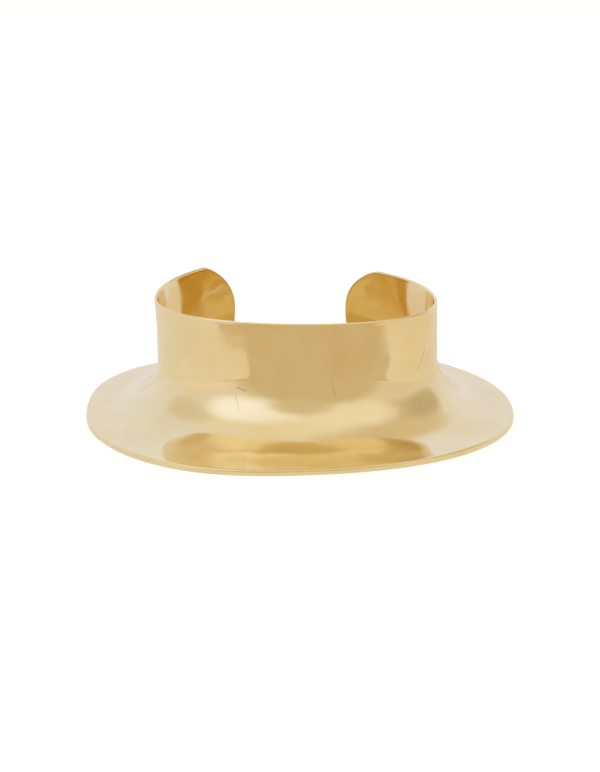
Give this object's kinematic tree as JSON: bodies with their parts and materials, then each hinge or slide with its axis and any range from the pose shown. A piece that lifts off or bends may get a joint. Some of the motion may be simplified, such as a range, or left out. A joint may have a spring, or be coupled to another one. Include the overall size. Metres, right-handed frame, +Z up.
{
  "type": "cuff bracelet",
  "caption": "Open cuff bracelet of polished brass sheet: an oval wrist band with a gap at the back and rounded ends, its lower edge flared into a wide hat-like brim.",
  "frame": {"origin": "under the middle of the outline, on the surface that the bracelet stands on", "axes": "+Z up, from the brim to the band's top edge; -Y towards the closed front, so that the gap between the ends is at +Y; +X to the right seen from the front"},
  "size_m": [0.0962, 0.0792, 0.028],
  "materials": {
    "polished_brass": "hand polished to a mirror, with faint hammer waves and fine wear marks"
  },
  "bodies": {
    "root": {"cuff_sheet": "polished_brass"}
  },
  "joints": []
}
